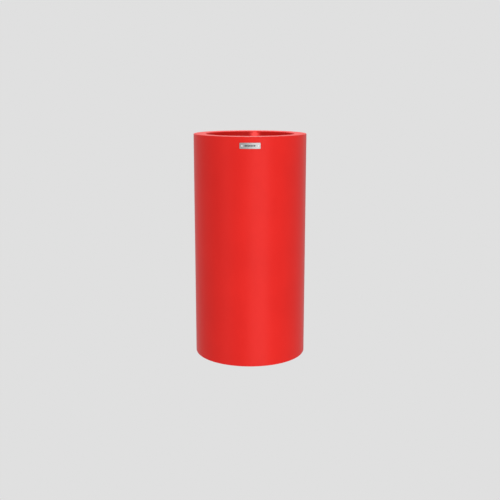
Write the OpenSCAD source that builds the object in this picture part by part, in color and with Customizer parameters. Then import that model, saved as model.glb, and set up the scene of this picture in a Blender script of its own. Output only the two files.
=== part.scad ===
// Tall round planter: a hollow double-walled tub with a wide flat rim, a riveted maker's plate,
// a lift-out false floor on an inner ledge, and four drains with pull-out rubber bungs.
// Millimetres. +Z is up, the origin is the centre of the base on the ground,
// and the plate faces -Y.

/* [Tub] */
// Outside diameter of the tub
tub_d = 400; // [340:1:520]
// Height from the ground to the rim
tub_h = 800; // [620:1:1100]
// Thickness of every moulded wall
wall_t = 5; // [3:0.5:8]
// Width of the flat rim from the outside to the mouth
rim_w = 43; // [30:1:60]
// Radius on the outer edge of the rim
rim_outer_edge_r = 3; // [1:0.5:6]
// Radius on the inner edge of the rim
rim_inner_edge_r = 4; // [1:0.5:6]
// Depth of the straight mouth below the rim
mouth_h = 60; // [40:1:100]
// How far the planting wall tapers in between the mouth and the ledge
upper_draft = 7; // [2:0.5:12]

/* [Ledge and inner floor] */
// Height of the ledge that carries the false floor
ledge_z = 400; // [280:1:460]
// Width of the ledge
ledge_w = 12; // [8:1:20]
// How far the lower planting wall tapers in below the ledge
lower_draft = 6; // [2:0.5:12]
// Height of the inner floor
inner_floor_z = 45; // [36:1:80]
// Radius where the inner floor meets the wall
floor_corner_r = 12; // [4:1:20]

/* [Base] */
// Width of the ring the tub stands on
foot_ring_w = 50; // [40:1:60]
// Depth of the recess inside the standing ring
base_recess = 8; // [5:0.5:14]
// Radius on the outer edge of the base
base_edge_r = 5; // [1:0.5:5]
// Radius on the inner edge of the standing ring
foot_edge_r = 4; // [1:0.5:5]

/* [Drains] */
// Diameter of the circle the drains lie on
drain_pcd = 170; // [140:1:200]
// Drain hole diameter
drain_d = 20; // [12:0.5:24]
// Diameter of each drain's dished well at the inner floor
well_top_d = 60; // [50:1:70]
// Diameter of the flat seat at the bottom of the well
well_seat_d = 34; // [30:1:40]
// Thickness of the seat the hole passes through
seat_t = 10; // [8:0.5:12]
// Radial clearance of a bung in its hole
bung_clearance = 0.05; // [0.02:0.01:0.1]

/* [Maker's plate] */
// Plate width round the wall, measured straight across
plate_w = 70; // [50:1:90]
// Plate height
plate_h = 20; // [16:0.5:30]
// Plate thickness
plate_t = 1.6; // [1:0.1:2]
// Distance from the rim down to the middle of the plate
plate_drop = 30; // [24:1:60]
// Plate corner radius
plate_corner_r = 2; // [0.5:0.5:5]
// Distance between the two rivets, measured straight across
rivet_spacing = 55; // [40:1:76]
// Rivet shank diameter
rivet_d = 3.2; // [2.4:0.1:4]
// Rivet head diameter
rivet_head_d = 6.4; // [5:0.1:8]
// Depth of the enamelled sprig in the plate
enamel_t = 0.3; // [0.2:0.05:0.5]

/* [False floor] */
// Thickness of the floor disc
floor_t = 8; // [6:0.5:12]
// Gap all round between the disc and the wall at the ledge
floor_gap = 4; // [3.5:0.5:6]
// Depth of the stiffening ribs under the disc
rib_depth = 18; // [10:1:30]
// Thickness of the ribs
rib_t = 3; // [2:0.5:5]
// Diameter of the drain perforations
perforation_d = 8; // [5:0.5:10]
// Diameter of the two finger holes
finger_hole_d = 26; // [22:1:28]

/* [Hidden] */
$fn = 180;
cut = 1;
overlap = 0.1;
tub_r = tub_d / 2;
mouth_r = tub_r - rim_w;
ledge_outer_r = mouth_r - upper_draft;
ledge_inner_r = ledge_outer_r - ledge_w;
floor_r = ledge_inner_r - lower_draft;
foot_inner_r = tub_r - foot_ring_w;
ledge_edge_r = 3;
recess_corner_r = 3;
seat_z = base_recess + seat_t;
drain_count = 4;
drain_start = 45;

vent_d = 10;
vent_clearance = 0.05;
vent_cap_d = 16;
vent_cap_t = 2;
vent_bead_d = 11;
vent_bead_h = 2;
vent_bead_gap = 0.2;

plate_z = tub_h - plate_drop;
plate_gap = 0.05;
prism_depth = 40;
plate_inner_r = tub_r + plate_gap;
plate_outer_r = plate_inner_r + plate_t;
rivet_azimuth = asin(rivet_spacing / 2 / plate_outer_r);
rivet_hole_clearance = 0.05;
rivet_head_h = 1.4;
rivet_bulb_d = 5;
rivet_bulb_h = 4;
rivet_tail = 1.5;
mandrel_d = 1.7;
mandrel_head_d = 2.8;
mandrel_head_h = 1.6;
mandrel_recess = 0.4;

leaf_pairs = 7;
leaf_pitch = 5;
leaf_len = 6;
leaf_w = 2.4;
leaf_lean = 34;
stem_len = 35;
stem_w = 0.9;
sprig_len = 40;
leaf_start = 2;

bung_r = drain_d / 2 - bung_clearance;
bung_flange_r = 15;
bung_flange_t = 3;
bung_lead = 1.5;
bung_foot = 1;
bung_tab_w = 18;
bung_tab_h = 11;
bung_tab_t = 4;
bung_bead_r = 3;

disc_r = ledge_outer_r - floor_gap;
disc_edge = 1;
outer_rib_r = 126;
inner_rib_r = 60;
hub_r = 16;
rib_count = 8;
rib_start = 22.5;
finger_r = 90;
inner_ring_r = 42;
middle_ring_r = 75;
outer_ring_r = 110;

red = [0.80, 0.13, 0.12];
steel = [0.72, 0.72, 0.70];
alloy = [0.82, 0.83, 0.84];
charcoal = [0.12, 0.12, 0.13];
black = [0.07, 0.07, 0.07];

// ---- outlines with true round corners ----

function unit(v) = v / norm(v);
function before(pts, i) = pts[(i + len(pts) - 1) % len(pts)];
function after(pts, i) = pts[(i + 1) % len(pts)];
function cross2(a, b) = a[0] * b[1] - a[1] * b[0];
function turn(pts, i) = cross2(pts[i] - before(pts, i), after(pts, i) - pts[i]);

// The sliver between a corner and the arc of radius r that touches both its sides.
module corner_sliver(pts, i, r) {
    p = pts[i];
    u = unit(before(pts, i) - p);
    v = unit(after(pts, i) - p);
    half = acos(u * v) / 2;
    reach = r / tan(half);
    centre = p + unit(u + v) * r / sin(half);
    difference() {
        polygon([p, p + u * reach, centre, p + v * reach]);
        translate(centre) circle(r = r);
    }
}

// A closed outline, listed anticlockwise, with one corner radius for each point.
module rounded_outline(pts, radii) {
    difference() {
        union() {
            polygon(pts);
            for (i = [0:len(pts) - 1])
                if (radii[i] > 0 && turn(pts, i) < 0)
                    corner_sliver(pts, i, radii[i]);
        }
        for (i = [0:len(pts) - 1])
            if (radii[i] > 0 && turn(pts, i) > 0)
                corner_sliver(pts, i, radii[i]);
    }
}

// ---- tub ----

module tub_outside() {
    rotate_extrude()
        rounded_outline(
            [
                [0, base_recess], [foot_inner_r, base_recess], [foot_inner_r, 0],
                [tub_r, 0], [tub_r, tub_h], [0, tub_h]
            ],
            [0, recess_corner_r, foot_edge_r, base_edge_r, rim_outer_edge_r, 0]
        );
}

module planting_space() {
    over = 2 * rim_inner_edge_r;
    rotate_extrude()
        rounded_outline(
            [
                [0, inner_floor_z], [floor_r, inner_floor_z], [ledge_inner_r, ledge_z],
                [ledge_outer_r, ledge_z], [mouth_r, tub_h - mouth_h], [mouth_r, tub_h],
                [mouth_r + over, tub_h], [mouth_r + over, tub_h + cut], [0, tub_h + cut]
            ],
            [0, floor_corner_r, ledge_edge_r, ledge_edge_r, 0, rim_inner_edge_r, 0, 0, 0]
        );
}

module wall_cavity() {
    rotate_extrude()
        polygon([
            [0, base_recess + wall_t],
            [foot_inner_r + wall_t, base_recess + wall_t],
            [foot_inner_r + wall_t, wall_t],
            [tub_r - wall_t, wall_t],
            [tub_r - wall_t, tub_h - wall_t],
            [mouth_r + wall_t, tub_h - wall_t],
            [mouth_r + wall_t, tub_h - mouth_h],
            [ledge_outer_r + wall_t, ledge_z - wall_t],
            [ledge_inner_r + wall_t, ledge_z - wall_t],
            [floor_r + wall_t, inner_floor_z - wall_t],
            [0, inner_floor_z - wall_t]
        ]);
}

function drain_azimuth(k) = drain_start + k * 360 / drain_count;

module at_drain(k) {
    rotate([0, 0, drain_azimuth(k)])
        translate([drain_pcd / 2, 0, 0])
            children();
}

module at_each_drain() {
    for (k = [0:drain_count - 1])
        at_drain(k)
            children();
}

// The dished well that joins the inner floor to the base round a drain.
module well(extra_r, low, high) {
    slope = (well_top_d - well_seat_d) / 2 / (inner_floor_z - seat_z);
    translate([0, 0, low])
        cylinder(
            h = high - low,
            r1 = well_seat_d / 2 + extra_r + (low - seat_z) * slope,
            r2 = well_seat_d / 2 + extra_r + (high - seat_z) * slope
        );
}

// A radial direction out through the wall at one rivet.
module at_rivet(side) {
    rotate([0, 0, side * rivet_azimuth])
        translate([0, 0, plate_z])
            rotate([90, 0, 0])
                children();
}

module pot_shell() {
    color(red)
        difference() {
            tub_outside();
            planting_space();
            difference() {
                wall_cavity();
                at_each_drain()
                    well(wall_t, base_recess, inner_floor_z - wall_t + cut);
            }
            at_each_drain()
                well(0, seat_z, inner_floor_z + cut);
            at_each_drain()
                cylinder(h = inner_floor_z, r = drain_d / 2);
            cylinder(h = base_recess + wall_t + cut, r = vent_d / 2);
            for (side = [-1, 1])
                at_rivet(side)
                    translate([0, 0, tub_r - wall_t - cut])
                        cylinder(h = wall_t + 2 * cut, r = rivet_d / 2 + rivet_hole_clearance);
        }
}

// ---- maker's plate ----

module ring_wall(inner_r, outer_r, low, high) {
    translate([0, 0, low])
        difference() {
            cylinder(h = high - low, r = outer_r);
            translate([0, 0, -cut])
                cylinder(h = high - low + 2 * cut, r = inner_r);
        }
}

// Stands an outline drawn in X and Z off the front of the tub.
module front_prism() {
    translate([0, -tub_r + prism_depth / 2, plate_z])
        rotate([90, 0, 0])
            linear_extrude(height = prism_depth)
                children();
}

module plate_outline() {
    w = plate_w / 2;
    h = plate_h / 2;
    rounded_outline(
        [[-w, -h], [w, -h], [w, h], [-w, h]],
        [plate_corner_r, plate_corner_r, plate_corner_r, plate_corner_r]
    );
}

// A pointed leaf, from its base at the origin out along +X.
module leaf() {
    bow = (leaf_len * leaf_len / 4 + leaf_w * leaf_w / 4) / leaf_w;
    intersection() {
        translate([leaf_len / 2, bow - leaf_w / 2])
            circle(r = bow);
        translate([leaf_len / 2, leaf_w / 2 - bow])
            circle(r = bow);
    }
}

// A plain sprig: one straight stem with paired leaves and a leaf at the tip.
module sprig_outline() {
    translate([-sprig_len / 2, -stem_w / 2])
        square([stem_len, stem_w]);
    for (k = [0:leaf_pairs - 1])
        for (side = [-1, 1])
            translate([-sprig_len / 2 + leaf_start + k * leaf_pitch, 0])
                rotate([0, 0, side * leaf_lean])
                    leaf();
    translate([sprig_len / 2 - leaf_len, 0])
        leaf();
}

module enamel_body() {
    intersection() {
        ring_wall(plate_outer_r - enamel_t, plate_outer_r, plate_z - plate_h, plate_z + plate_h);
        front_prism()
            sprig_outline();
    }
}

module badge_plate() {
    color(steel)
        difference() {
            intersection() {
                ring_wall(plate_inner_r, plate_outer_r, plate_z - plate_h, plate_z + plate_h);
                front_prism()
                    plate_outline();
            }
            enamel_body();
            for (side = [-1, 1])
                at_rivet(side)
                    translate([0, 0, tub_r - cut])
                        cylinder(h = plate_t + 3 * cut, r = rivet_d / 2 + rivet_hole_clearance);
        }
}

module badge_enamel() {
    color(charcoal)
        enamel_body();
}

// One blind rivet along +Z: domed head outside, bulb drawn up behind the wall.
module rivet() {
    dome_r = (rivet_head_d * rivet_head_d / 4 + rivet_head_h * rivet_head_h) / 2 / rivet_head_h;
    head_z = plate_outer_r + rivet_hole_clearance;
    bulb_z = tub_r - wall_t - rivet_bulb_h - rivet_hole_clearance;
    difference() {
        union() {
            intersection() {
                translate([0, 0, head_z])
                    cylinder(h = rivet_head_h + cut, r = rivet_head_d / 2);
                translate([0, 0, head_z + rivet_head_h - dome_r])
                    sphere(r = dome_r);
            }
            translate([0, 0, bulb_z - rivet_tail])
                cylinder(h = head_z + overlap - bulb_z + rivet_tail, r = rivet_d / 2);
            translate([0, 0, bulb_z])
                cylinder(h = rivet_bulb_h, r1 = rivet_d / 2, r2 = rivet_bulb_d / 2);
        }
        translate([0, 0, bulb_z - rivet_tail - cut])
            cylinder(h = plate_outer_r, r = mandrel_d / 2);
    }
}

// The snapped-off stem left inside a rivet, with its head against the tail.
module mandrel() {
    tail_z = tub_r - wall_t - rivet_bulb_h - rivet_hole_clearance - rivet_tail;
    top_z = plate_outer_r + rivet_head_h - mandrel_recess;
    translate([0, 0, tail_z])
        cylinder(h = top_z - tail_z, r = mandrel_d / 2);
    translate([0, 0, tail_z - mandrel_head_h])
        cylinder(h = mandrel_head_h, r = mandrel_head_d / 2);
}

module badge_rivets() {
    color(alloy)
        for (side = [-1, 1])
            at_rivet(side)
                rivet();
}

module rivet_mandrels() {
    color(steel)
        for (side = [-1, 1])
            at_rivet(side)
                mandrel();
}

// ---- base and drains ----

module vent_plug() {
    bead_z = base_recess + wall_t + vent_bead_gap;
    color(black)
        union() {
            translate([0, 0, base_recess - vent_cap_t])
                cylinder(h = vent_cap_t, r = vent_cap_d / 2);
            translate([0, 0, base_recess - vent_cap_t])
                cylinder(
                    h = bead_z + vent_bead_h - base_recess + vent_cap_t,
                    r = vent_d / 2 - vent_clearance
                );
            translate([0, 0, bead_z])
                cylinder(h = vent_bead_h, r1 = vent_bead_d / 2, r2 = vent_d / 2 - vent_clearance);
        }
}

// One rubber bung: stem in the hole, flange on the seat, and a tab to pull it by.
module bung() {
    flange_top = seat_z + bung_flange_t;
    color(black)
        union() {
            translate([0, 0, base_recess - bung_foot])
                cylinder(h = bung_lead, r1 = bung_r - bung_lead, r2 = bung_r);
            translate([0, 0, base_recess - bung_foot + bung_lead])
                cylinder(h = seat_t + bung_foot - bung_lead + bung_flange_t, r = bung_r);
            translate([0, 0, seat_z])
                cylinder(h = bung_flange_t, r = bung_flange_r);
            translate([-bung_tab_w / 2, -bung_tab_t / 2, flange_top - cut])
                cube([bung_tab_w, bung_tab_t, bung_tab_h + cut]);
            translate([-bung_tab_w / 2, 0, flange_top + bung_tab_h])
                rotate([0, 90, 0])
                    cylinder(h = bung_tab_w, r = bung_bead_r);
        }
}

// Every bung stands with its tab along X.
module drain_plug(k) {
    at_drain(k)
        rotate([0, 0, -drain_azimuth(k)])
            bung();
}

// ---- false floor ----

module perforation_ring(ring_r, count, start) {
    for (k = [0:count - 1])
        rotate([0, 0, start + k * 360 / count])
            translate([ring_r, 0, ledge_z - cut])
                cylinder(h = floor_t + 2 * cut, r = perforation_d / 2);
}

module false_floor() {
    ribs_z = ledge_z - rib_depth;
    between_ribs = 360 / rib_count / 4;
    color(charcoal)
        difference() {
            union() {
                translate([0, 0, ledge_z])
                    cylinder(h = floor_t - disc_edge, r = disc_r);
                translate([0, 0, ledge_z + floor_t - disc_edge])
                    cylinder(h = disc_edge, r1 = disc_r, r2 = disc_r - disc_edge);
                ring_wall(outer_rib_r - rib_t, outer_rib_r, ribs_z, ledge_z + cut);
                ring_wall(inner_rib_r - rib_t, inner_rib_r, ribs_z, ledge_z + cut);
                ring_wall(hub_r - rib_t, hub_r, ribs_z, ledge_z + cut);
                for (k = [0:rib_count - 1])
                    rotate([0, 0, rib_start + k * 360 / rib_count])
                        translate([hub_r - rib_t / 2, -rib_t / 2, ribs_z])
                            cube([outer_rib_r - hub_r, rib_t, rib_depth + cut]);
            }
            perforation_ring(0, 1, 0);
            perforation_ring(inner_ring_r, rib_count, 0);
            perforation_ring(middle_ring_r, 2 * rib_count, between_ribs);
            perforation_ring(outer_ring_r, 2 * rib_count, between_ribs);
            for (side = [-1, 1])
                translate([side * finger_r, 0, ledge_z - cut])
                    cylinder(h = floor_t + 2 * cut, r = finger_hole_d / 2);
        }
}

pot_shell();
badge_plate();
badge_enamel();
badge_rivets();
rivet_mandrels();
vent_plug();
false_floor();
drain_plug(0);  // drain_plug_1
drain_plug(1);  // drain_plug_2
drain_plug(2);  // drain_plug_3
drain_plug(3);  // drain_plug_4
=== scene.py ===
"""Looks of a tall round planter: a rotomoulded tub with a flat rim, a riveted plate,
a lift-out false floor and rubber drain bungs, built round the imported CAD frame."""

import logging
import math
from dataclasses import dataclass
from enum import Enum
from typing import Callable, Optional, Sequence, Union

import bmesh
import bpy
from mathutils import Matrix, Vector

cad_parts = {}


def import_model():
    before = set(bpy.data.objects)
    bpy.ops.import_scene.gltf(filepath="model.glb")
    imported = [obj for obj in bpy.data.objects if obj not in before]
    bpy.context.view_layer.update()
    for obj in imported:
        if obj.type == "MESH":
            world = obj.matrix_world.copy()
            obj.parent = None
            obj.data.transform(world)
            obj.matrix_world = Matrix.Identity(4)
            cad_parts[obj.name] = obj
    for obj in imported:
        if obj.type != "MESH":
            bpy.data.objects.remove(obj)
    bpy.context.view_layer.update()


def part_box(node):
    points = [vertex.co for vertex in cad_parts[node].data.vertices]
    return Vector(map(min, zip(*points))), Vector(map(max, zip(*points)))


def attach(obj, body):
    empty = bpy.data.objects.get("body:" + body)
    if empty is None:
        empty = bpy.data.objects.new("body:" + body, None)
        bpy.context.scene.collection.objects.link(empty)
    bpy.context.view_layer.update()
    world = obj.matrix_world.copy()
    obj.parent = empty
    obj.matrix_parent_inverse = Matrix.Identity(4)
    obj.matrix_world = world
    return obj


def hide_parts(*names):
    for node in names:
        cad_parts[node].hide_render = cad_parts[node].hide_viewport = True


LOG = logging.getLogger("planter")
MM = 0.001
# Gaps below which points count as in line, as on a given circle or level, and as one point.
HAIR, NEAR, WELD = 0.0001 * MM, 0.02 * MM, 0.002 * MM

Number = Union[int, float]
Point = tuple[float, float]
Colour = tuple[float, float, float]
EdgeTest = Callable[[Vector, Vector], bool]
Piece = bpy.types.Object
Material = bpy.types.Material
Value = Union["Wire", Number]


class Turning(Enum):
    """How finely a round piece is turned: the number of flats round it."""

    TUB = 192
    DISC = 128
    SMALL = 48
    HOLE = 40
    LEAF = 28
    BEAD = 24


class Side(Enum):
    """The two ends of the plate."""

    LEFT = -1
    RIGHT = 1


# ---------------------------------------------------------------- modelling bench


class Bench:
    """Edit-mode modelling steps, with everything picked out by its place."""

    @staticmethod
    def put_down() -> None:
        """Leave edit mode and deselect every object."""
        if bpy.context.object is not None and bpy.context.object.mode != "OBJECT":
            bpy.ops.object.mode_set(mode="OBJECT")
        bpy.ops.object.select_all(action="DESELECT")

    @staticmethod
    def take(piece: Piece) -> None:
        """Make one object the only selected and the active one.

        Args:
            piece: The object to work on.
        """
        Bench.put_down()
        piece.select_set(True)
        bpy.context.view_layer.objects.active = piece

    @staticmethod
    def edit(piece: Piece, kind: str) -> None:
        """Open a piece for editing with nothing in it selected.

        Args:
            piece: The object to open.
            kind: VERT or EDGE, what is picked next.
        """
        Bench.take(piece)
        bpy.ops.object.mode_set(mode="EDIT")
        bpy.ops.mesh.select_mode(type=kind)
        bpy.ops.mesh.select_all(action="DESELECT")

    @staticmethod
    def done() -> None:
        """Close edit mode."""
        bpy.ops.object.mode_set(mode="OBJECT")

    @staticmethod
    def round_off(piece: Piece, test: EdgeTest, rounding: float, steps: int) -> None:
        """Round the edges whose two ends pass a test.

        Args:
            piece: The object to work on.
            test: Takes an edge's ends, and says whether it is wanted.
            rounding: The width of the rounding in metres.
            steps: How many faces it has.
        """
        Bench.edit(piece, "EDGE")
        mesh = bmesh.from_edit_mesh(piece.data)
        wanted = [edge for edge in mesh.edges if test(edge.verts[0].co, edge.verts[1].co)]
        for edge in wanted:
            edge.select_set(True)
        bmesh.update_edit_mesh(piece.data)
        if wanted:
            bpy.ops.mesh.bevel(offset=rounding, segments=steps, profile=0.5, affect="EDGES")
        Bench.done()

    @staticmethod
    def modify(piece: Piece, kind: str, **settings: object) -> None:
        """Add one modifier, set it and apply it.

        Args:
            piece: The object to change.
            kind: The modifier's type.
            **settings: The modifier's own properties.
        """
        Bench.take(piece)
        modifier = piece.modifiers.new(kind.title(), kind)
        for key, value in settings.items():
            setattr(modifier, key, value)
        bpy.ops.object.modifier_apply(modifier=modifier.name)

    @staticmethod
    def ease(piece: Piece, width: float, degrees: float) -> None:
        """Take the sharpness off every edge that turns by more than some degrees."""
        settings = {"limit_method": "ANGLE", "angle_limit": math.radians(degrees)}
        Bench.modify(piece, "BEVEL", width=width, segments=2, use_clamp_overlap=True, **settings)

    @staticmethod
    def boolean(piece: Piece, tool: Piece, how: str, tangled: bool = False) -> None:
        """Cut, join or trim a piece with a tool, and throw the tool away.

        Args:
            piece: The object that is kept.
            tool: The object that shapes it.
            how: DIFFERENCE, UNION or INTERSECT.
            tangled: Whether parts of the tool run through each other.
        """
        settings = {"object": tool, "operation": how, "solver": "EXACT", "use_self": tangled}
        Bench.modify(piece, "BOOLEAN", **settings)
        bpy.data.objects.remove(tool)

    @staticmethod
    def join(pieces: Sequence[Piece]) -> Piece:
        """Make several objects one.

        Args:
            pieces: The objects; the first one is kept.

        Returns:
            The joined object.
        """
        Bench.take(pieces[0])
        for piece in pieces[1:]:
            piece.select_set(True)
        bpy.ops.object.join()
        return pieces[0]

    @staticmethod
    def block(size: Sequence[float], at: Sequence[float]) -> Piece:
        """Add a box.

        Args:
            size: Its size on X, Y and Z, in metres.
            at: Its middle.

        Returns:
            The box.
        """
        Bench.put_down()
        bpy.ops.mesh.primitive_cube_add(size=1, location=(0, 0, 0))
        piece = bpy.context.object
        piece.scale = size
        Bench.place(piece, at)
        return piece

    @staticmethod
    def copy(piece: Piece, name: str) -> Piece:
        """Copy an object with a mesh of its own.

        Args:
            piece: The object to copy.
            name: The copy's name.

        Returns:
            The copy.
        """
        twin = piece.copy()
        twin.data = piece.data.copy()
        twin.name = name
        bpy.context.scene.collection.objects.link(twin)
        return twin

    @staticmethod
    def repeat(first: Piece, name: str, spots: Sequence[tuple]) -> Piece:
        """Stand copies of a piece in several places and join them.

        Args:
            first: The piece, which is used up.
            name: What the joined piece is called.
            spots: Where each copy goes and how it is turned.

        Returns:
            The joined piece.
        """
        copies = [Bench.copy(first, name) for _ in spots]
        bpy.data.objects.remove(first)
        for piece, (at, turn) in zip(copies, spots):
            Bench.place(piece, at, turn)
        return Bench.join(copies)

    @staticmethod
    def place(piece: Piece, at: Sequence[float], turn: Sequence[float] = (0, 0, 0)) -> None:
        """Turn and move a piece, and write its place into its mesh.

        Args:
            piece: The object to place.
            at: Where its origin goes, in metres.
            turn: Rotation about X, Y and Z in radians.
        """
        piece.location = at
        piece.rotation_euler = turn
        Bench.take(piece)
        bpy.ops.object.transform_apply(location=True, rotation=True, scale=True)

    @staticmethod
    def tidy_mesh(piece: Piece) -> None:
        """Merge doubled points and point every face outward.

        Args:
            piece: The object to tidy.
        """
        Bench.edit(piece, "VERT")
        bpy.ops.mesh.select_all(action="SELECT")
        bpy.ops.mesh.remove_doubles(threshold=WELD)
        bpy.ops.mesh.normals_make_consistent(inside=False)
        Bench.done()

    @staticmethod
    def smooth(piece: Piece, degrees: float) -> None:
        """Shade a piece smooth except across sharp edges, with its large faces kept flat.

        Args:
            piece: The object to shade.
            degrees: The angle that stays sharp.
        """
        Bench.take(piece)
        bpy.ops.object.shade_smooth_by_angle(angle=math.radians(degrees))
        Bench.modify(piece, "WEIGHTED_NORMAL", keep_sharp=True)


class Lathe:
    """Turns a half outline, drawn by extruding one point, into a round piece on the Z axis."""

    @staticmethod
    def turn(name: str, outline: Sequence[Point], flats: Turning) -> Piece:
        """Draw an outline in radius and height and spin it.

        Args:
            name: The new object's name.
            outline: Points as (radius, height) in metres, from axis to axis or round in a loop.
            flats: How finely to turn it.

        Returns:
            The turned object, closed and facing outward.
        """
        Bench.put_down()
        bpy.ops.mesh.primitive_plane_add(size=MM, location=(0, 0, 0))
        piece = bpy.context.object
        piece.name = name
        Bench.edit(piece, "VERT")
        bpy.ops.mesh.select_all(action="SELECT")
        bpy.ops.mesh.merge(type="CENTER")
        start = Vector((outline[0][0], 0, outline[0][1]))
        bpy.ops.transform.translate(value=start)
        here = start
        for radius, height in outline[1:]:
            there = Vector((radius, 0, height))
            bpy.ops.mesh.extrude_region_move(TRANSFORM_OT_translate={"value": there - here})
            here = there
        bpy.ops.mesh.select_all(action="SELECT")
        bpy.ops.mesh.spin(steps=flats.value, angle=math.tau, center=(0, 0, 0), axis=(0, 0, 1))
        Bench.done()
        Bench.tidy_mesh(piece)
        return piece

    @staticmethod
    def pin(name: str, radius: float, low: float, high: float) -> Piece:
        """Turn a plain pin on the Z axis, between two heights."""
        outline = [(0, low), (radius, low), (radius, high), (0, high)]
        return Lathe.turn(name, outline, Turning.SMALL)

    @staticmethod
    def round_edges(piece: Piece, circles: Sequence[tuple[float, float, float]]) -> None:
        """Round off circular edges.

        Args:
            piece: The turned object.
            circles: Each edge's radius, height and rounding, in metres.
        """
        for radius, height, rounding in circles:

            def on_circle(a: Vector, b: Vector) -> bool:
                """Whether an edge lies on the circle."""
                return all(
                    abs(p.xy.length - radius) < NEAR and abs(p.z - height) < NEAR for p in (a, b)
                )

            Bench.round_off(piece, on_circle, rounding, 6)


# ---------------------------------------------------------------- shader wiring


class Wire:
    """A shader socket that takes part in ordinary arithmetic."""

    def __init__(self, board: "Board", socket: bpy.types.NodeSocket) -> None:
        """Remember the board and the socket."""
        self.board = board
        self.socket = socket

    def _with(self, operation: str, *values: Value) -> "Wire":
        """Run one Math node on some inputs and give its result."""
        node = self.board.add("ShaderNodeMath", {"operation": operation}, dict(enumerate(values)))
        return Wire(self.board, node.outputs[0])

    def __add__(self, other: Value) -> "Wire":
        """Sum."""
        return self._with("ADD", self, other)

    def __sub__(self, other: Value) -> "Wire":
        """Difference."""
        return self._with("SUBTRACT", self, other)

    def __rsub__(self, other: Number) -> "Wire":
        """Difference from a number."""
        return self._with("SUBTRACT", other, self)

    def __mul__(self, other: Value) -> "Wire":
        """Product."""
        return self._with("MULTIPLY", self, other)

    def __pow__(self, other: Number) -> "Wire":
        """Power."""
        return self._with("POWER", self, other)

    def rise(self, low: float, high: float) -> "Wire":
        """Go smoothly from 0 at low to 1 at high, or the other way if low is the greater.

        Args:
            low: Where the result is 0.
            high: Where the result is 1.

        Returns:
            The smoothed step.
        """
        settings = {"interpolation_type": "SMOOTHSTEP"}
        inputs = {"Value": self, "From Min": min(low, high), "From Max": max(low, high)}
        node = self.board.add("ShaderNodeMapRange", settings, inputs)
        step = Wire(self.board, node.outputs["Result"])
        return 1 - step if low > high else step


class Board:
    """One material's node tree."""

    def __init__(self, name: str) -> None:
        """Start a material with only a Principled shader and its output.

        Args:
            name: The material's name.
        """
        self.material = bpy.data.materials.new(name)
        self.material.use_nodes = True
        self.tree = self.material.node_tree
        self.tree.nodes.clear()
        output = self.add("ShaderNodeOutputMaterial", {}, {})
        self.shader = self.add("ShaderNodeBsdfPrincipled", {}, {})
        self.tree.links.new(self.shader.outputs[0], output.inputs["Surface"])
        self.place = Wire(self, self.add("ShaderNodeTexCoord", {}, {}).outputs["Object"])

    def add(
        self, kind: str, settings: dict[str, object], inputs: dict[Union[str, int], object]
    ) -> bpy.types.Node:
        """Add any node, set it, then feed it.

        Args:
            kind: The node's type.
            settings: Its own properties.
            inputs: Values or wires for its sockets, by name or number.

        Returns:
            The node.
        """
        node = self.tree.nodes.new(kind)
        for key, value in settings.items():
            setattr(node, key, value)
        for key, value in inputs.items():
            if isinstance(value, Wire):
                self.tree.links.new(value.socket, node.inputs[key])
            else:
                node.inputs[key].default_value = value
        return node

    def stretched(self, along: Sequence[float]) -> Wire:
        """Object coordinates scaled on each axis."""
        node = self.add("ShaderNodeMapping", {}, {"Vector": self.place, "Scale": tuple(along)})
        return Wire(self, node.outputs["Vector"])

    def noise(self, scale: float, detail: float = 2.0, where: Optional[Wire] = None) -> Wire:
        """Soft noise from 0 to 1: its features per metre, finer layers and coordinates."""
        inputs = {"Vector": where or self.place, "Scale": scale, "Detail": detail, "Roughness": 0.5}
        return Wire(self, self.add("ShaderNodeTexNoise", {}, inputs).outputs[0])

    def axes(self) -> tuple[Wire, Wire, Wire]:
        """The piece's X, Y and Z as three wires."""
        node = self.add("ShaderNodeSeparateXYZ", {}, {"Vector": self.place})
        return tuple(Wire(self, out) for out in node.outputs)

    def radius(self) -> Wire:
        """Distance from the Z axis."""
        x, y, _ = self.axes()
        return (x * x + y * y) ** 0.5

    def blend(self, share: Wire, low: Union[Colour, Wire], high: Union[Colour, Wire]) -> Wire:
        """Mix two colours.

        Args:
            share: 0 for the first colour, 1 for the second.
            low: The first colour.
            high: The second colour.

        Returns:
            The mixed colour.
        """
        node = self.add("ShaderNodeMix", {"data_type": "RGBA"}, {"Factor": share})
        for name, colour in (("A", low), ("B", high)):
            socket = next(s for s in node.inputs if s.name == name and s.type == "RGBA")
            if isinstance(colour, Wire):
                self.tree.links.new(colour.socket, socket)
            else:
                socket.default_value = (*colour, 1)
        return Wire(self, next(s for s in node.outputs if s.type == "RGBA"))

    def bump(self, height: Wire, strength: float, depth: float) -> Wire:
        """Turn a height from 0 to 1, of a real depth in metres, into a surface normal."""
        inputs = {"Height": height, "Strength": strength, "Distance": depth}
        return Wire(self, self.add("ShaderNodeBump", {}, inputs).outputs["Normal"])

    def finish(self, **sockets: Union[Wire, Number, Colour]) -> Material:
        """Feed the Principled shader.

        Args:
            **sockets: Values or wires, with underscores for the spaces in socket names.

        Returns:
            The finished material.
        """
        for name, value in sockets.items():
            socket = self.shader.inputs[name.replace("_", " ")]
            if isinstance(value, Wire):
                self.tree.links.new(value.socket, socket)
            elif isinstance(value, tuple):
                socket.default_value = (*value, 1)
            else:
                socket.default_value = value
        return self.material


# ---------------------------------------------------------------- finishes


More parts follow.
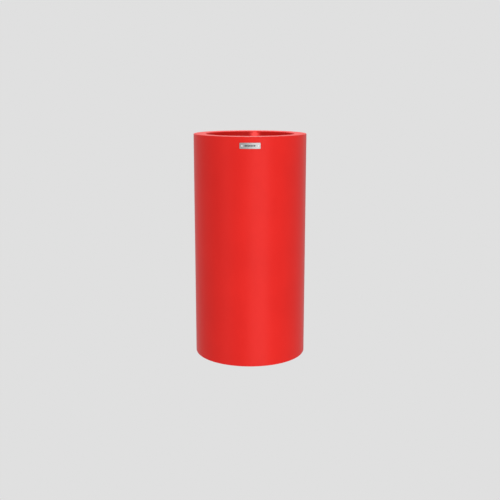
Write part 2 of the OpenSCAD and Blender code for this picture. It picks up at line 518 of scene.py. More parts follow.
@dataclass(frozen=True)
class RotomouldedSkin:
    """Satin coloured polyethylene as it leaves a rotational mould."""

    name: str = "red rotomoulded polyethylene"
    colour: Colour = (0.60, 0.0137, 0.0095)
    deep: Colour = (0.565, 0.012, 0.0085)
    rubbed: Colour = (0.60, 0.055, 0.045)
    roughness: float = 0.40
    gloss: float = 0.125
    peel: float = 430.0
    grain: float = 2300.0
    rim_height: float = 0.8
    tub_radius: float = 0.2

    def make(self) -> Material:
        """Wire the material: mottle, orange peel, and a little rub on the edges.

        Returns:
            The material.
        """
        board = Board(self.name)
        _, _, height = board.axes()
        radius = board.radius()
        cloud = board.noise(7.0, 3.0)
        flow = board.noise(16.0, 2.0, board.stretched((1.0, 1.0, 0.22)))
        peel = board.noise(self.peel, 1.0)
        grain = board.noise(self.grain, 1.0)
        speck = board.noise(900.0, 2.0).rise(0.66, 0.74)
        tone = (cloud * 0.65 + flow * 0.35).rise(0.3, 0.7)
        rim_rub = height.rise(self.rim_height - 1.6 * MM, self.rim_height - 0.3 * MM)
        rim_rub = rim_rub * radius.rise(self.tub_radius - 4 * MM, self.tub_radius - 1 * MM)
        foot_rub = height.rise(5 * MM, 0.3 * MM)
        patch = board.noise(55.0, 4.0).rise(0.47, 0.68)
        rub = (rim_rub * 0.35 + foot_rub * 0.5) * patch
        skin = board.blend(tone, self.deep, self.colour)
        skin = board.blend(speck * 0.25, skin, self.deep)
        skin = board.blend(rub, skin, self.rubbed)
        rough = (cloud - 0.5) * 0.07 + (peel - 0.5) * 0.05 + rub * 0.18 + self.roughness
        normal = board.bump(peel * 0.75 + grain * 0.25, 0.16, 0.22 * MM)
        return board.finish(
            Base_Color=skin, Roughness=rough, Normal=normal, Specular_IOR_Level=self.gloss
        )


@dataclass(frozen=True)
class BrushedPlate:
    """Stainless sheet brushed along its length."""

    name: str = "brushed stainless plate"
    light: Colour = (0.40, 0.40, 0.397)
    dark: Colour = (0.28, 0.28, 0.277)
    roughness: float = 0.36

    def make(self) -> Material:
        """Wire long fine scratches and a few handling marks.

        Returns:
            The material.
        """
        board = Board(self.name)
        long_lines = board.noise(1.0, 3.0, board.stretched((60.0, 60.0, 9000.0)))
        short_lines = board.noise(1.0, 2.0, board.stretched((260.0, 260.0, 5200.0)))
        marks = board.noise(120.0, 3.0).rise(0.55, 0.75)
        lines = long_lines * 0.6 + short_lines * 0.4
        tone = board.blend(lines.rise(0.3, 0.7), self.dark, self.light)
        rough = lines * 0.16 + marks * 0.06 + (self.roughness - 0.08)
        normal = board.bump(lines, 0.25, 0.02 * MM)
        return board.finish(
            Base_Color=tone, Metallic=1.0, Roughness=rough, Normal=normal, Anisotropic=0.4
        )


@dataclass(frozen=True)
class Enamel:
    """Hard dark enamel wiped into an engraving."""

    name: str = "charcoal enamel"
    colour: Colour = (0.022, 0.022, 0.025)
    dusty: Colour = (0.045, 0.045, 0.048)

    def make(self) -> Material:
        """Wire a faintly uneven dark gloss.

        Returns:
            The material.
        """
        board = Board(self.name)
        pool = board.noise(700.0, 2.0)
        tone = board.blend(pool.rise(0.35, 0.7), self.colour, self.dusty)
        normal = board.bump(pool, 0.15, 0.03 * MM)
        return board.finish(Base_Color=tone, Roughness=pool * 0.12 + 0.22, Normal=normal)


@dataclass(frozen=True)
class BareMetal:
    """Plain drawn metal, as on a rivet or a snapped steel stem."""

    name: str
    light: Colour
    dark: Colour
    roughness: float
    grain: float = 2600.0

    def make(self) -> Material:
        """Wire fine grain and slight tarnish.

        Returns:
            The material.
        """
        board = Board(self.name)
        fine = board.noise(self.grain, 2.0)
        cloud = board.noise(340.0, 3.0)
        tone = board.blend((fine * 0.4 + cloud * 0.6).rise(0.3, 0.72), self.dark, self.light)
        rough = (fine - 0.5) * 0.16 + (cloud - 0.5) * 0.12 + self.roughness
        normal = board.bump(fine, 0.2, 0.02 * MM)
        return board.finish(Base_Color=tone, Metallic=1.0, Roughness=rough, Normal=normal)


@dataclass(frozen=True)
class BlackPlastic:
    """Black or charcoal moulded polyethylene with a fine pebble."""

    name: str
    colour: Colour
    worn: Colour
    roughness: float = 0.5
    pebble: float = 850.0

    def make(self) -> Material:
        """Wire pebble, faint flow marks and dust.

        Returns:
            The material.
        """
        board = Board(self.name)
        pebble = board.noise(self.pebble, 2.0)
        cloud = board.noise(24.0, 4.0)
        tone = board.blend((cloud * 0.7 + pebble * 0.3).rise(0.38, 0.72), self.colour, self.worn)
        rough = (cloud - 0.5) * 0.2 + (pebble - 0.5) * 0.1 + self.roughness
        normal = board.bump(pebble, 0.3, 0.12 * MM)
        return board.finish(Base_Color=tone, Roughness=rough, Normal=normal)


@dataclass(frozen=True)
class Rubber:
    """Dull black rubber with a pale bloom."""

    name: str = "black bung rubber"
    colour: Colour = (0.018, 0.018, 0.018)
    bloom: Colour = (0.05, 0.05, 0.05)
    roughness: float = 0.72

    def make(self) -> Material:
        """Wire bloom and a fine tooth.

        Returns:
            The material.
        """
        board = Board(self.name)
        tooth = board.noise(1800.0, 2.0)
        bloom = board.noise(130.0, 4.0)
        tone = board.blend(bloom.rise(0.42, 0.72), self.colour, self.bloom)
        rough = (bloom - 0.5) * 0.16 + self.roughness
        return board.finish(Base_Color=tone, Roughness=rough, Normal=board.bump(tooth, 0.3, 0.05 * MM))


# ---------------------------------------------------------------- sub-assemblies


def fit_out(
    piece: Piece, finish: Material, body: str, node: str, sharp: float = 32.0
) -> None:
    """Shade and dress a finished piece, and let it stand for its CAD node.

    Args:
        piece: The finished piece.
        finish: Its material.
        body: The body it rides on.
        node: The CAD node it replaces.
        sharp: Edges sharper than this many degrees stay sharp.
    """
    piece.data.materials.clear()
    piece.data.materials.append(finish)
    Bench.smooth(piece, sharp)
    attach(piece, body)
    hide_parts(node)
    LOG.info("%s: %d faces", piece.name, len(piece.data.polygons))


def corners(node: str) -> tuple[list[float], ...]:
    """A CAD body's lowest and highest corner, rounded to a hundredth of a millimetre."""
    return tuple([round(value, 5) for value in corner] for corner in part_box(node))


def drain_places(circle: float) -> list[Vector]:
    """Where the four drains stand on a circle, in the order the bungs are numbered."""
    turns = [math.radians(45 + 90 * k) for k in range(4)]
    return [Vector((circle * math.cos(a), circle * math.sin(a), 0)) for a in turns]


@dataclass
class Tub:
    """The double-walled tub with its rim, ledge, wells and standing ring."""

    plate: "MakersPlate"
    radius: float = 200 * MM
    height: float = 800 * MM
    wall: float = 5 * MM
    mouth: float = 157 * MM
    mouth_depth: float = 60 * MM
    ledge_outer: float = 150 * MM
    ledge_inner: float = 138 * MM
    ledge_height: float = 400 * MM
    floor_radius: float = 132 * MM
    floor_height: float = 45 * MM
    foot_inner: float = 150 * MM
    recess: float = 8 * MM
    seat_height: float = 18 * MM
    drain_circle: float = 85 * MM
    drain_radius: float = 10 * MM
    well_top: float = 30 * MM
    well_seat: float = 17 * MM
    vent_radius: float = 5 * MM
    rim_outer_edge: float = 3 * MM
    rim_inner_edge: float = 4 * MM
    base_edge: float = 5 * MM
    foot_edge: float = 4 * MM
    recess_corner: float = 3 * MM
    ledge_edge: float = 3 * MM
    floor_corner: float = 12 * MM
    well_lip: float = 2.5 * MM
    well_cone_drop: float = 3 * MM
    overrun: float = 5 * MM
    well_overrun: float = 6 * MM
    vent_overrun: float = 3 * MM

    @classmethod
    def fitted(cls, plate: "MakersPlate") -> "Tub":
        """Size the tub to its CAD body, with the plate whose rivets go through its wall."""
        _, high = corners("pot_shell")
        return cls(plate, radius=high[0], height=high[2])

    def skin(self) -> Piece:
        """Turn the outside, rim and planting space as one closed skin, with rounded edges.

        Returns:
            The skin.
        """
        outline = [
            (0, self.recess),
            (self.foot_inner, self.recess),
            (self.foot_inner, 0),
            (self.radius, 0),
            (self.radius, self.height),
            (self.mouth, self.height),
            (self.mouth, self.height - self.mouth_depth),
            (self.ledge_outer, self.ledge_height),
            (self.ledge_inner, self.ledge_height),
            (self.floor_radius, self.floor_height),
            (0, self.floor_height),
        ]
        skin = Lathe.turn("tub", outline, Turning.TUB)
        Lathe.round_edges(
            skin,
            [
                (self.radius, self.height, self.rim_outer_edge),
                (self.mouth, self.height, self.rim_inner_edge),
                (self.radius, 0, self.base_edge),
                (self.foot_inner, 0, self.foot_edge),
                (self.foot_inner, self.recess, self.recess_corner),
                (self.ledge_outer, self.ledge_height, self.ledge_edge),
                (self.ledge_inner, self.ledge_height, self.ledge_edge),
                (self.floor_radius, self.floor_height, self.floor_corner),
            ],
        )
        return skin

    def hollow(self) -> Piece:
        """Turn the empty space between the walls, less the four drain wells.

        Returns:
            The hollow.
        """
        low, high = self.recess + self.wall, self.floor_height - self.wall
        outline = [
            (0, low),
            (self.foot_inner + self.wall, low),
            (self.foot_inner + self.wall, self.wall),
            (self.radius - self.wall, self.wall),
            (self.radius - self.wall, self.height - self.wall),
            (self.mouth + self.wall, self.height - self.wall),
            (self.mouth + self.wall, self.height - self.mouth_depth),
            (self.ledge_outer + self.wall, self.ledge_height - self.wall),
            (self.ledge_inner + self.wall, self.ledge_height - self.wall),
            (self.floor_radius + self.wall, high),
            (0, high),
        ]
        hollow = Lathe.turn("hollow", outline, Turning.TUB)
        base, top = self.recess, self.floor_height - self.well_cone_drop
        wide = [self.well_radius(z) + self.wall for z in (base, top)]
        cone = [(0, base), (wide[0], base), (wide[1], top), (0, top)]
        Bench.boolean(hollow, self.at_drains("well cone", cone), "DIFFERENCE")
        return hollow

    def well_radius(self, height: float) -> float:
        """Radius of a well's sloping side at a height."""
        slope = (self.well_top - self.well_seat) / (self.floor_height - self.seat_height)
        return self.well_seat + (height - self.seat_height) * slope

    def at_drains(self, name: str, outline: Sequence[Point]) -> Piece:
        """Turn a half outline once and stand it at all four drains, as one object."""
        spots = [(place, (0, 0, 0)) for place in drain_places(self.drain_circle)]
        return Bench.repeat(Lathe.turn(name, outline, Turning.DISC), name, spots)

    def wells(self) -> Piece:
        """The four wells with their drain holes, as one cutter.

        Returns:
            The cutter.
        """
        below, above = self.recess - self.overrun, self.floor_height + self.well_overrun
        outline = [
            (0, below),
            (self.drain_radius, below),
            (self.drain_radius, self.seat_height),
            (self.well_seat, self.seat_height),
            (self.well_radius(above), above),
            (0, above),
        ]
        return self.at_drains("well", outline)

    def pin_cutter(self, side: Side) -> Piece:
        """A pin that drills one rivet hole through the outer wall.

        Args:
            side: Which end of the plate.

        Returns:
            The cutter.
        """
        pin = Lathe.pin("rivet drill", self.plate.rivet_hole, -self.overrun, self.overrun)
        turn = side.value * self.plate.rivet_azimuth
        reach = self.radius - self.wall / 2
        at = (reach * math.sin(turn), -reach * math.cos(turn), self.plate.middle)
        Bench.place(pin, at, (math.pi / 2, 0, turn))
        return pin

    def build(self, finish: Material) -> None:
        """Make the tub and dress it.

        Args:
            finish: The red skin.
        """
        tub = self.skin()
        Bench.boolean(tub, self.hollow(), "DIFFERENCE")
        Bench.boolean(tub, self.wells(), "DIFFERENCE")
        below, above = self.recess - self.overrun, self.recess + self.wall + self.vent_overrun
        Bench.boolean(tub, Lathe.pin("vent", self.vent_radius, below, above), "DIFFERENCE")
        for side in Side:
            Bench.boolean(tub, self.pin_cutter(side), "DIFFERENCE")
        self.soften_wells(tub)
        Bench.tidy_mesh(tub)
        fit_out(tub, finish, "tub", "pot_shell")

    def soften_wells(self, tub: Piece) -> None:
        """Round the lip of each well where it meets the inner floor.

        Args:
            tub: The cut tub.
        """
        centres = [place.xy for place in drain_places(self.drain_circle)]

        def on_lip(a: Vector, b: Vector) -> bool:
            """Whether an edge lies on a well's lip.

            Args:
                a: One end.
                b: The other end.

            Returns:
                True if it does.
            """
            return all(
                abs(p.z - self.floor_height) < NEAR
                and any(abs((p.xy - c).length - self.well_top) < 5 * NEAR for c in centres)
                for p in (a, b)
            )

        Bench.round_off(tub, on_lip, self.well_lip, 4)


@dataclass
class MakersPlate:
    """The small plate bent to the wall, with its inlaid sprig and two blind rivets."""

    wall_radius: float = 200.05 * MM
    thickness: float = 1.6 * MM
    width: float = 70 * MM
    height: float = 20 * MM
    corner: float = 2 * MM
    edge: float = 0.3 * MM
    slices: int = 56
    middle: float = 770 * MM
    rivet_spread: float = 55 * MM
    head_radius: float = 3.2 * MM
    head_height: float = 1.4 * MM
    brim: float = 0.25 * MM
    shank: float = 1.6 * MM
    rivet_hole: float = 1.65 * MM
    drill_reach: float = 3 * MM
    bulb: float = 2.5 * MM
    bulb_length: float = 4 * MM
    tail: float = 1.5 * MM
    stem: float = 0.85 * MM
    inner_wall: float = 195 * MM
    inlay: float = 0.3 * MM
    enamel_sink: float = 0.05 * MM
    enamel_gap: float = 0.01 * MM
    rivet_gap: float = 0.05 * MM
    leaf_half: float = 0.44
    leaf_tip: float = 0.06
    cutter_depth: float = 0.9 * MM
    sprig_length: float = 40 * MM
    stem_length: float = 35 * MM
    stem_width: float = 0.9 * MM
    stem_rounding: float = 0.4 * MM
    sprig_height: float = 12 * MM
    first_leaf: float = 2 * MM
    leaf_length: float = 6 * MM
    leaf_width: float = 2.4 * MM
    leaf_pitch: float = 5.0 * MM
    leaf_pairs: int = 7
    leaf_lean: float = math.radians(34)

    @classmethod
    def fitted(cls) -> "MakersPlate":
        """Size the plate to its CAD body.

        Returns:
            The plate.
        """
        low, high = corners("badge_plate")
        return cls(
            wall_radius=-low[1] - cls.thickness,
            width=high[0] - low[0],
            height=high[2] - low[2],
            middle=(low[2] + high[2]) / 2,
        )

    @property
    def face_radius(self) -> float:
        """Radius of the plate's outer face."""
        return self.wall_radius + self.thickness

    @property
    def rivet_foot(self) -> float:
        """Radius at which the rivets' heads start."""
        return self.face_radius + self.rivet_gap

    @property
    def rivet_end(self) -> float:
        """Radius at which the rivets' tails end."""
        return self.inner_wall - self.bulb_length - self.rivet_gap - self.tail

    @property
    def rivet_azimuth(self) -> float:
        """How far round the wall each rivet stands."""
        return math.asin(self.rivet_spread / 2 / self.face_radius)

    def flat_length(self, across: float) -> float:
        """Half a width along the wall, from half of it straight across at the outer face."""
        return self.wall_radius * math.asin(across / self.face_radius)

    @staticmethod
    def runs_through(a: Vector, b: Vector) -> bool:
        """Whether an edge runs straight through the flat plate."""
        return abs(a.x - b.x) < HAIR and abs(a.z - b.z) < HAIR

    def on_face(self, a: Vector, b: Vector) -> bool:
        """Whether an edge lies on the flat plate's outer face."""
        return all(abs(p.y + self.thickness) < HAIR for p in (a, b))

    def leaf(self, at: float, lean: float) -> Piece:
        """One pointed leaf, as a short prism standing off the plate.

        Args:
            at: Where its base is along the plate.
            lean: How far it leans from the stem.

        Returns:
            The leaf.
        """
        Bench.put_down()
        bpy.ops.mesh.primitive_circle_add(
            vertices=Turning.LEAF.value, radius=1.0, fill_type="NGON"
        )
        leaf = bpy.context.object
        leaf.rotation_euler = (math.pi / 2, 0, 0)
        leaf.scale = (self.leaf_length * self.leaf_half, self.leaf_width / 2, 1)
        Bench.take(leaf)
        bpy.ops.object.transform_apply(location=False, rotation=True, scale=True)
        Bench.edit(leaf, "VERT")
        for way in (-1, 1):
            mesh = bmesh.from_edit_mesh(leaf.data)
            for vert in mesh.verts:
                vert.select_set(vert.co.x * way > self.leaf_length * self.leaf_half - 0.01 * MM)
            mesh.select_flush(True)
            bmesh.update_edit_mesh(leaf.data)
            bpy.ops.transform.translate(value=(way * self.leaf_length * self.leaf_tip, 0, 0))
        bpy.ops.mesh.select_all(action="SELECT")
        bpy.ops.transform.translate(value=(self.leaf_length / 2, -self.thickness + self.inlay, 0))
        bpy.ops.mesh.extrude_region_move(
            TRANSFORM_OT_translate={"value": (0, -self.cutter_depth, 0)}
        )
        bpy.ops.mesh.select_all(action="SELECT")
        bpy.ops.mesh.normals_make_consistent(inside=False)
        Bench.done()
        Bench.place(leaf, (at, 0, 0), (0, -lean, 0))
        return leaf

    def sprig(self) -> Piece:
        """The whole sprig as one cutter: a stem, paired leaves and a leaf at the tip.

        Returns:
            The cutter.
        """
        start = -self.sprig_length / 2
        behind = -self.thickness + self.inlay - self.cutter_depth / 2
        size = (self.stem_length, self.cutter_depth, self.stem_width)
        stem = Bench.block(size, (start + self.stem_length / 2, behind, 0))
        Bench.round_off(stem, self.runs_through, self.stem_rounding, 4)
        leaves = [
            self.leaf(start + self.first_leaf + k * self.leaf_pitch, way * self.leaf_lean)
            for k in range(self.leaf_pairs)
            for way in (-1, 1)
        ]
        leaves.append(self.leaf(-start - self.leaf_length, 0))
        return Bench.join([stem, *leaves])

    def bend(self, piece: Piece) -> None:
        """Slice a flat piece across and roll it round the wall.

        Args:
            piece: The flat piece, lying on the XZ plane with its back at Y = 0.
        """
        Bench.edit(piece, "VERT")
        for k in range(1, self.slices):
            bpy.ops.mesh.select_all(action="SELECT")
            x = self.width * (k / self.slices - 0.5)
            bpy.ops.mesh.bisect(plane_co=(x, 0, 0), plane_no=(1, 0, 0), threshold=0.001 * MM)
        Bench.done()
        xs = [v.co.x for v in piece.data.vertices]
        Bench.modify(
            piece,
            "SIMPLE_DEFORM",
            deform_method="BEND",
            deform_axis="Z",
            angle=(max(xs) - min(xs)) / self.wall_radius,
        )
        Bench.place(piece, (0, -self.wall_radius, self.middle))

    def plate(self, sprig: Piece) -> Piece:
        """The plate: cut square, corners rounded, edges eased, engraved and rolled.

        Args:
            sprig: The cutter for the engraving.

        Returns:
            The plate.
        """
        size = (2 * self.flat_length(self.width / 2), self.thickness, self.height)
        plate = Bench.block(size, (0, -self.thickness / 2, 0))
        plate.name = "makers_plate"
        Bench.round_off(plate, self.runs_through, self.corner, 7)
        Bench.round_off(plate, self.on_face, self.edge, 3)
        Bench.boolean(plate, sprig, "DIFFERENCE", tangled=True)
        for side in Side:
            at = side.value * self.flat_length(self.rivet_spread / 2)
            drill = Lathe.pin("plate drill", self.rivet_hole, -self.drill_reach, self.drill_reach)
            Bench.place(drill, (at, 0, 0), (math.pi / 2, 0, 0))
            Bench.boolean(plate, drill, "DIFFERENCE")
        self.bend(plate)
        Bench.tidy_mesh(plate)
        return plate

    def enamel(self, sprig: Piece) -> Piece:
        """The enamel that fills the engraving, a hair below the plate's face.

        Args:
            sprig: The cutter for the engraving.

        Returns:
            The enamel.
        """
        depth = self.inlay - self.enamel_sink
        size = (self.sprig_length + 2 * self.first_leaf, depth, self.sprig_height)
        back = -self.thickness + self.inlay - self.enamel_gap
        slab = Bench.block(size, (0, back - depth / 2, 0))
        slab.name = "plate_enamel"
        Bench.boolean(slab, sprig, "INTERSECT", tangled=True)
        self.bend(slab)
        Bench.tidy_mesh(slab)
        return slab

    def rivet(self) -> Piece:
        """One domed blind rivet: head, bore, shank and the bulb behind the wall.

        Returns:
            The rivet, along Z.
        """
        foot, end = self.rivet_foot, self.rivet_end
        bulb_foot, bulb_top = end + self.tail, end + self.tail + self.bulb_length
        brim, crown = foot + self.brim, foot + self.head_height
        turns = [math.radians(12 * k) for k in range(7)]
        dome = [
            (self.head_radius * math.cos(a), brim + (crown - brim) * math.sin(a)) for a in turns
        ]
        outline = [
            (self.head_radius - 0.1 * MM, foot),
            *dome,
            (self.stem + 0.25 * MM, crown - 0.02 * MM),
            (self.stem, crown - 0.2 * MM),
            (self.stem, end),
            (self.shank, end),
            (self.shank + 0.1 * MM, bulb_foot),
            (self.bulb, bulb_foot + self.bulb_length * 0.55),
            (self.bulb, bulb_top - 0.4 * MM),
            (self.bulb - 0.4 * MM, bulb_top),
            (self.shank, bulb_top),
            (self.shank, foot),
        ]
        return Lathe.turn("rivet", [*outline, outline[0]], Turning.SMALL)

    def mandrel(self) -> Piece:
        """One snapped stem, ragged at the break and headed at the tail.

        Returns:
            The stem, along Z.
        """
        end, top = self.rivet_end, self.rivet_foot + self.head_height - 0.45 * MM
        outline = [
            (0, end - 1.6 * MM),
            (1.1 * MM, end - 1.6 * MM),
            (1.4 * MM, end - 1.2 * MM),
            (1.4 * MM, end - 0.3 * MM),
            (1.2 * MM, end),
            (self.stem, end),
            (self.stem, top - 0.2 * MM),
            (self.stem - 0.25 * MM, top),
            (0.3 * MM, top - 0.12 * MM),
            (0, top + 0.08 * MM),
        ]
        return Lathe.turn("stem", outline, Turning.SMALL)

    def pair(self, maker: Callable[[], Piece], name: str) -> Piece:
        """Make a piece once, stand a copy at each rivet, and join the two.

        Args:
            maker: Builds the piece along Z.
            name: The pair's name.

        Returns:
            The pair as one object.
        """
        turns = [(math.pi / 2, 0, side.value * self.rivet_azimuth) for side in Side]
        both = Bench.repeat(maker(), name, [((0, 0, self.middle), turn) for turn in turns])
        Bench.tidy_mesh(both)
        return both

    def build(self, sheet: Material, enamel: Material, alloy: Material, steel: Material) -> None:
        """Make and dress every piece of the plate.

        Args:
            sheet: The plate's finish.
            enamel: The inlay's finish.
            alloy: The rivets' finish.
            steel: The stems' finish.
        """
        sprig = self.sprig()
        spare = Bench.copy(sprig, "sprig spare")
        fit_out(self.plate(sprig), sheet, "tub", "badge_plate", 25)
        fit_out(self.enamel(spare), enamel, "tub", "badge_enamel", 25)
        fit_out(self.pair(self.rivet, "plate_rivets"), alloy, "tub", "badge_rivets")
        fit_out(self.pair(self.mandrel, "rivet_stems"), steel, "tub", "rivet_mandrels")


@dataclass
class VentPlug:
    """The snap-in plug in the moulding vent under the base."""

    under: float = 8 * MM
    wall: float = 5 * MM
    cap_radius: float = 8 * MM
    cap: float = 2 * MM
    dimple: float = 3 * MM
    dimple_depth: float = 0.7 * MM
    dimple_flare: float = 0.6 * MM
    stem: float = 4.95 * MM
    bead: float = 5.5 * MM

    @classmethod
    def fitted(cls) -> "VentPlug":
        """Size the plug to its CAD body."""
        low, high = corners("vent_plug")
        return cls(under=low[2] + cls.cap, cap_radius=high[0])

    def build(self, finish: Material) -> None:
        """Turn the plug, with a coin dimple in its cap, and dress it.

        Args:
            finish: The black plastic.
        """
        face = self.under - self.cap
        top = self.under + self.wall
        outline = [
            (0, face + self.dimple_depth),
            (self.dimple, face + self.dimple_depth),
            (self.dimple + self.dimple_flare, face),
            (self.cap_radius - 0.8 * MM, face),
            (self.cap_radius - 0.2 * MM, face + 0.3 * MM),
            (self.cap_radius, face + 0.9 * MM),
            (self.cap_radius, self.under),
            (self.stem, self.under),
            (self.stem, top + 0.2 * MM),
            (self.bead, top + 0.2 * MM),
            (self.stem, top + 2.2 * MM),
            (self.stem - 1.4 * MM, top + 2.2 * MM),
            (self.stem - 1.6 * MM, self.under + 1 * MM),
            (0, self.under + 1 * MM),
        ]
        plug = Lathe.turn("vent_cap", outline, Turning.SMALL)
        fit_out(plug, finish, "tub", "vent_plug")


@dataclass
class FalseFloor:
    """The lift-out perforated disc with stiffening ribs underneath."""

    level: float = 400 * MM
    thickness: float = 8 * MM
    radius: float = 146 * MM
    rib_depth: float = 18 * MM
    rib: float = 3 * MM
    rib_bite: float = 1.2 * MM
    outer_rib: float = 126 * MM
    inner_rib: float = 60 * MM
    hub: float = 16 * MM
    ribs: int = 8
    hole: float = 4 * MM
    finger: float = 13 * MM
    finger_at: float = 90 * MM
    drill_overrun: float = 3 * MM
    rings: Sequence[tuple[float, int, float]] = (
        (0.0, 1, 0.0),
        (42 * MM, 8, 0.0),
        (75 * MM, 16, 11.25),
        (110 * MM, 16, 11.25),
    )
    easing: float = 0.6 * MM
    easing_turn: float = 50

    @classmethod
    def fitted(cls) -> "FalseFloor":
        """Size the false floor to its CAD body.

        Returns:
            The false floor.
        """
        low, high = corners("false_floor")
        level = high[2] - cls.thickness
        return cls(level=level, radius=high[0], rib_depth=level - low[2])

    def disc(self) -> Piece:
        """Turn the disc together with its three round ribs.

        Returns:
            The disc.
        """
        top, under, low = self.level + self.thickness, self.level, self.level - self.rib_depth
        outline: list[Point] = [(0, top), (self.radius - 1 * MM, top), (self.radius, top - 1 * MM)]
        outline.append((self.radius, under))
        for ring in (self.outer_rib, self.inner_rib, self.hub):
            outline += [(ring, under), (ring, low), (ring - self.rib, low), (ring - self.rib, under)]
        outline.append((0, under))
        return Lathe.turn("lift_out_floor", outline, Turning.DISC)

    def spokes(self) -> Piece:
        """The straight ribs, from the hub to the outer ring.

        Returns:
            The eight ribs as one object.
        """
        start, stop = self.hub - self.rib_bite, self.outer_rib - self.rib_bite
        low, high = self.level - self.rib_depth + 0.6 * MM, self.level + 0.5 * MM
        bars = []
        for k in range(self.ribs):
            bar = Bench.block(
                (stop - start, self.rib, high - low), ((start + stop) / 2, 0, (low + high) / 2)
            )
            Bench.place(bar, (0, 0, 0), (0, 0, math.radians(22.5 + 45 * k)))
            bars.append(bar)
        return Bench.join(bars)

    def drills(self) -> Piece:
        """Every drain hole and both finger holes, as one cutter.

        Returns:
            The cutter.
        """
        spots = [
            (ring * math.cos(a), ring * math.sin(a), self.hole)
            for ring, count, start in self.rings
            for a in (math.radians(start + k * 360 / count) for k in range(count))
        ]
        spots += [(side.value * self.finger_at, 0, self.finger) for side in Side]
        pins = []
        for x, y, radius in spots:
            Bench.put_down()
            bpy.ops.mesh.primitive_cylinder_add(
                vertices=Turning.HOLE.value,
                radius=radius,
                depth=self.thickness + 2 * self.drill_overrun,
                location=(x, y, self.level + self.thickness / 2),
            )
            pins.append(bpy.context.object)
        cutter = Bench.join(pins)
        Bench.place(cutter, cutter.location)
        return cutter

    def build(self, finish: Material) -> None:
        """Make the floor, ease its edges and dress it.

        Args:
            finish: The charcoal plastic.
        """
        floor = self.disc()
        Bench.boolean(floor, self.spokes(), "UNION")
        Bench.boolean(floor, self.drills(), "DIFFERENCE")
        Bench.tidy_mesh(floor)
        Bench.ease(floor, self.easing, self.easing_turn)
        fit_out(floor, finish, "floor", "false_floor")


@dataclass
class DrainBung:
    """A rubber bung: lead-in, stem, flange, and a beaded tab to pull it by."""

    foot: float = 7 * MM
    seat: float = 18 * MM
    stem: float = 9.95 * MM
    flange: float = 15 * MM
    flange_thickness: float = 3 * MM
    tab_width: float = 18 * MM
    tab_height: float = 11 * MM
    tab_thickness: float = 4 * MM
    bead: float = 3 * MM
    bead_rounding: float = 0.8 * MM
    circle: float = 85 * MM
    easing: float = 0.35 * MM
    easing_turn: float = 40

    @classmethod
    def fitted(cls) -> "DrainBung":
        """Size the bung to its CAD body.

        Returns:
            The bung.
        """
        low, high = corners("drain_plug_1")
        body = cls.seat + cls.flange_thickness
        return cls(foot=low[2], tab_height=high[2] - body - cls.bead)

    def body(self) -> Piece:
        """Turn the stem and flange.

        Returns:
            The body.
        """
        top = self.seat + self.flange_thickness
        outline = [
            (0, self.foot),
            (self.stem - 1.9 * MM, self.foot),
            (self.stem - 1.4 * MM, self.foot + 0.2 * MM),
            (self.stem, self.foot + 1.5 * MM),
            (self.stem, self.seat),
            (self.flange - 0.4 * MM, self.seat),
            (self.flange, self.seat + 0.4 * MM),
            (self.flange, top - 0.9 * MM),
            (self.flange - 0.3 * MM, top - 0.3 * MM),
            (self.flange - 0.9 * MM, top),
            (0, top),
        ]
        return Lathe.turn("bung", outline, Turning.SMALL)

    def tab(self) -> Piece:
        """The pull tab: a web with a round bead along its top, ends rounded.

        Returns:
            The tab.
        """
        top = self.seat + self.flange_thickness
        size = (self.tab_width, self.tab_thickness, self.tab_height + 1 * MM)
        web = Bench.block(size, (0, 0, top + self.tab_height / 2 - 0.5 * MM))
        Bench.put_down()
        bpy.ops.mesh.primitive_cylinder_add(
            vertices=Turning.BEAD.value, radius=self.bead, depth=self.tab_width, location=(0, 0, 0)
        )
        bead = bpy.context.object
        Bench.round_off(bead, lambda a, b: abs(a.z - b.z) < HAIR, self.bead_rounding, 3)
        Bench.place(bead, (0, 0, top + self.tab_height), (0, math.pi / 2, 0))
        Bench.boolean(web, bead, "UNION")
        return web

    def build(self, finish: Material) -> None:
        """Make one bung, copy it to the four drains and dress the copies.

        Args:
            finish: The rubber.
        """
        first = self.body()
        Bench.boolean(first, self.tab(), "UNION")
        Bench.tidy_mesh(first)
        Bench.ease(first, self.easing, self.easing_turn)
        for number, place in enumerate(drain_places(self.circle), start=1):
            bung = Bench.copy(first, f"bung_rubber_{number}")
            Bench.place(bung, place)
            fit_out(bung, finish, f"bung_{number}", f"drain_plug_{number}")
        bpy.data.objects.remove(first)


# ---------------------------------------------------------------- studio


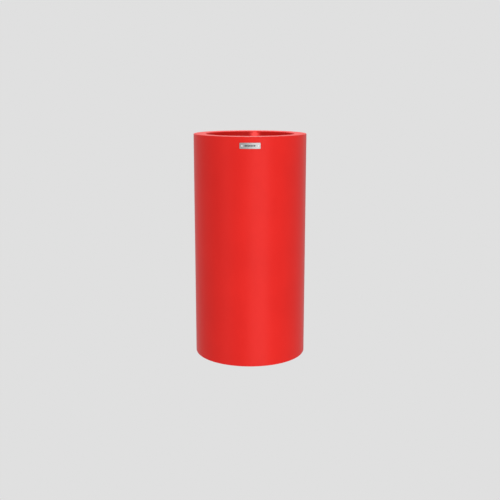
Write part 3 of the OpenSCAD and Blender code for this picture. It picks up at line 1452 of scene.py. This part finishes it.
@dataclass
class Studio:
    """Pale floor and surround, soft lamps, and the camera."""

    grey: float = 0.745
    strip_height: float = 6.0
    strip_centre: float = 0.4
    camera_distance: float = 2.8454
    camera_height: float = 0.9605
    camera_pitch: float = 11.585
    lens: float = 57.23

    def surround(self) -> None:
        """Set the even grey world and lay the floor."""
        world = bpy.data.worlds.new("pale surround")
        bpy.context.scene.world = world
        world.use_nodes = True
        sky = next(n for n in world.node_tree.nodes if n.type == "BACKGROUND")
        sky.inputs["Color"].default_value = (self.grey, self.grey, self.grey, 1)
        sky.inputs["Strength"].default_value = 1.0
        Bench.put_down()
        bpy.ops.mesh.primitive_plane_add(size=60, location=(0, 0, 0))
        floor = bpy.context.object
        floor.name = "studio_floor"
        floor.visible_diffuse = False
        floor.visible_glossy = False
        floor.visible_shadow = False
        board = Board("studio floor")
        board.finish(
            Base_Color=(0.0, 0.0, 0.0),
            Roughness=1.0,
            Specular_IOR_Level=0.0,
            Emission_Color=(1.0, 1.0, 1.0),
            Emission_Strength=self.grey,
        )
        floor.data.materials.append(board.material)

    def lamp(
        self,
        name: str,
        at: Sequence[float],
        target: Sequence[float],
        size: tuple[float, float],
        power: float,
        spread: float = 180.0,
    ) -> None:
        """Hang one soft rectangular lamp.

        Args:
            name: Its name.
            at: Where it hangs.
            target: The point it faces.
            size: Its width and height.
            power: Its power in watts.
            spread: How wide it throws light, in degrees.
        """
        data = bpy.data.lights.new(name, "AREA")
        data.shape = "RECTANGLE"
        data.size, data.size_y = size
        data.energy = power
        data.spread = math.radians(spread)
        lamp = bpy.data.objects.new(name, data)
        bpy.context.scene.collection.objects.link(lamp)
        lamp.location = at
        lamp.rotation_euler = (Vector(target) - Vector(at)).to_track_quat("-Z", "Y").to_euler()
        lamp.visible_camera = False

    def strip(self, name: str, azimuth: float, reach: float, width: float, power: float) -> None:
        """Stand a tall strip lamp beside the camera, facing the planter.

        Args:
            name: Its name.
            azimuth: Degrees round the planter, to the right of the camera.
            reach: Distance from the planter's axis.
            width: Its width.
            power: Its power in watts.
        """
        turn = math.radians(azimuth)
        at = (reach * math.sin(turn), -reach * math.cos(turn), self.strip_centre)
        self.lamp(name, at, (0, 0, self.strip_centre), (width, self.strip_height), power)

    def lamps(self) -> None:
        """Stand three strips round the front, a soft box above and a small glint in the mouth."""
        self.strip("key strip", 8, 1.5, 0.3, 15.6)
        self.strip("near strip", 23, 0.6, 0.12, 5.6)
        self.strip("left strip", -45, 1.5, 0.3, 6.1)
        over_mouth, far_wall = (-0.03, -0.10, 0.815), (0.018, 0.156, 0.787)
        self.lamp("mouth glint", over_mouth, far_wall, (0.01, 0.01), 0.0024, spread=10)
        self.lamp("overhead box", (0, 0.5, 1.6), (0, 0, 0.8), (0.5, 0.5), 9.5)

    def camera(self) -> None:
        """Stand the camera in front, a little above the rim, looking slightly down."""
        data = bpy.data.cameras.new("camera")
        data.lens = self.lens
        data.sensor_width = 36.0
        camera = bpy.data.objects.new("camera", data)
        bpy.context.scene.collection.objects.link(camera)
        camera.location = (0, -self.camera_distance, self.camera_height)
        camera.rotation_euler = (math.radians(90 - self.camera_pitch), 0, 0)
        bpy.context.scene.camera = camera

    def build(self) -> None:
        """Set up the whole studio."""
        bpy.context.scene.view_settings.view_transform = "Standard"
        self.camera()
        self.surround()
        self.lamps()


def main() -> None:
    """Build the planter's pieces in order, then the studio."""
    logging.basicConfig(level=logging.INFO, format="%(name)s: %(message)s")
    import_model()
    Bench.put_down()
    black = BlackPlastic("black cap plastic", (0.018, 0.018, 0.019), (0.035, 0.035, 0.036))
    charcoal = BlackPlastic("charcoal floor plastic", (0.028, 0.028, 0.030), (0.06, 0.06, 0.062))
    alloy = BareMetal("rivet aluminium", (0.70, 0.70, 0.71), (0.54, 0.54, 0.55), 0.34)
    steel = BareMetal("stem steel", (0.42, 0.41, 0.40), (0.26, 0.25, 0.24), 0.42)
    plate = MakersPlate.fitted()
    Tub.fitted(plate).build(RotomouldedSkin().make())
    plate.build(BrushedPlate().make(), Enamel().make(), alloy.make(), steel.make())
    VentPlug.fitted().build(black.make())
    FalseFloor.fitted().build(charcoal.make())
    DrainBung.fitted().build(Rubber().make())
    Studio().build()


if __name__ == "__main__":
    main()
